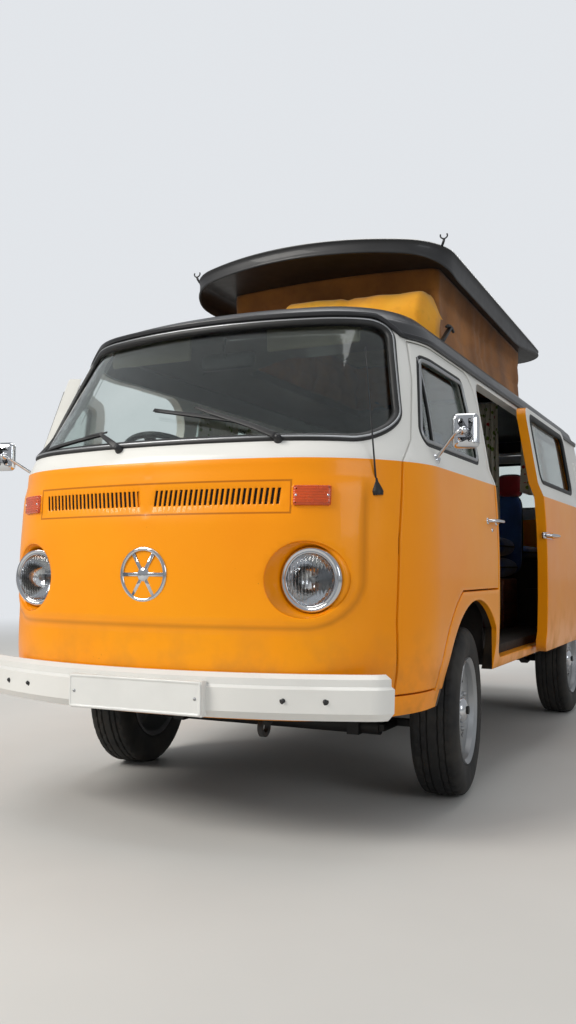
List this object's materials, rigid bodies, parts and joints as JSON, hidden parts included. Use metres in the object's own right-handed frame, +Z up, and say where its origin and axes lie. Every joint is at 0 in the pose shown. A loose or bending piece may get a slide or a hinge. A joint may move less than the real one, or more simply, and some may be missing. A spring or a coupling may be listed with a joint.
{
  "type": "camper van",
  "caption": "Small rear-engined camper van with a rising canvas roof, sliding side door open, cab door ajar, and round headlamps.",
  "frame": {"origin": "middle of the whole van's footprint at the ground, open doors and mirrors included", "axes": "+X to the van's left, +Y rearwards along the van, +Z up"},
  "size_m": [2.3024, 4.508, 2.3391],
  "materials": {
    "orange_paint": "gloss",
    "white_paint": "gloss",
    "dark_paint": "satin",
    "wheel_silver": "satin",
    "tyre": "matte",
    "chrome": "polished",
    "glass": "gloss",
    "lamp_glass": "gloss",
    "indicator_plastic": "gloss",
    "tail_lamp_plastic": "gloss",
    "black_plastic": "matte",
    "seat_cloth": "matte",
    "canvas": "matte",
    "cabinet_wood": "satin",
    "chassis_steel": "satin",
    "engine_iron": "matte"
  },
  "bodies": {
    "body": {"nose": "orange_paint", "side_left": "orange_paint", "side_right": "orange_paint", "tail": "orange_paint", "roof": "white_paint", "floor": "chassis_steel", "chassis": "chassis_steel", "axles": "chassis_steel", "fixed_windows": "glass", "sliding_door": "orange_paint", "front_bumper": "white_paint", "rear_bumper": "white_paint", "headlamp_lenses": "lamp_glass", "indicators": "indicator_plastic", "tail_lamps": "tail_lamp_plastic", "wipers": "black_plastic", "nose_trim": "chrome", "dashboard": "black_plastic", "seats": "seat_cloth", "cabinets": "cabinet_wood", "engine": "engine_iron", "canvas": "canvas", "roof_catches": "chrome"},
    "pop_top": {"poptop_rim": "dark_paint", "poptop_shell": "white_paint"},
    "steering_wheel": {"steering_wheel": "black_plastic"},
    "knuckle_left": {"knuckle_left": "chassis_steel"},
    "knuckle_right": {"knuckle_right": "chassis_steel"},
    "cab_door_left": {"cab_door_left": "orange_paint", "cab_glass_left": "glass", "door_fittings_left": "chrome"},
    "cab_door_right": {"cab_door_right": "orange_paint", "cab_glass_right": "glass", "door_fittings_right": "chrome"},
    "tailgate": {"tailgate": "orange_paint", "tailgate_glass": "glass"},
    "engine_lid": {"engine_lid": "orange_paint"},
    "wheel_front_left": {"rim_front_left": "wheel_silver", "tyre_front_left": "tyre"},
    "wheel_front_right": {"rim_front_right": "wheel_silver", "tyre_front_right": "tyre"},
    "wheel_rear_left": {"rim_rear_left": "wheel_silver", "tyre_rear_left": "tyre"},
    "wheel_rear_right": {"rim_rear_right": "wheel_silver", "tyre_rear_right": "tyre"}
  },
  "joints": [
    {"name": "steer_left", "type": "hinge", "parent": "body", "child": "knuckle_left", "pos_m": [0.78973, -1.16, 0.325], "axis": [0, 0, 1], "range_deg": [-36, 24]},
    {"name": "steer_right", "type": "hinge", "parent": "body", "child": "knuckle_right", "pos_m": [-0.49027, -1.16, 0.325], "axis": [0, 0, 1], "range_deg": [-36, 24]},
    {"name": "steering_wheel_turn", "type": "hinge", "parent": "body", "child": "steering_wheel", "pos_m": [-0.22027, -1.49, 1.3], "axis": [0, 0.5708, 0.8211], "range_deg": [-432, 288]},
    {"name": "spin_front_left", "type": "hinge", "parent": "knuckle_left", "child": "wheel_front_left", "pos_m": [0.78973, -1.16, 0.325], "axis": [0.9945, 0.1045, 0], "continuous": true},
    {"name": "spin_rear_left", "type": "hinge", "parent": "body", "child": "wheel_rear_left", "pos_m": [0.87173, 1.24, 0.325], "axis": [1, 0, 0], "continuous": true},
    {"name": "spin_front_right", "type": "hinge", "parent": "knuckle_right", "child": "wheel_front_right", "pos_m": [-0.49027, -1.16, 0.325], "axis": [0.9945, 0.1045, 0], "continuous": true},
    {"name": "spin_rear_right", "type": "hinge", "parent": "body", "child": "wheel_rear_right", "pos_m": [-0.57227, 1.24, 0.325], "axis": [1, 0, 0], "continuous": true},
    {"name": "cab_door_left_swing", "type": "hinge", "parent": "body", "child": "cab_door_left", "pos_m": [0.93473, -1.862, 1], "axis": [0, 0, -1], "range_deg": [0, 65]},
    {"name": "cab_door_right_swing", "type": "hinge", "parent": "body", "child": "cab_door_right", "pos_m": [-0.63527, -1.862, 1], "axis": [0, 0, 1], "range_deg": [-25, 40]},
    {"name": "tailgate_lift", "type": "hinge", "parent": "body", "child": "tailgate", "pos_m": [0.14973, 2.047, 1.693], "axis": [1, 0, 0], "range_deg": [0, 80]},
    {"name": "engine_lid_lift", "type": "hinge", "parent": "body", "child": "engine_lid", "pos_m": [0.14973, 2.196, 0.938], "axis": [1, 0, 0], "range_deg": [0, 60]},
    {"name": "pop_top_lower", "type": "slide", "parent": "body", "child": "pop_top", "axis": [0, 0, -1], "range_m": [0, 0.19], "deforming": ["canvas"]}
  ],
  "couplings": [
    {"joint": "steer_right", "follows": "steer_left", "ratio": 1},
    {"joint": "steering_wheel_turn", "follows": "steer_left", "ratio": 12}
  ]
}
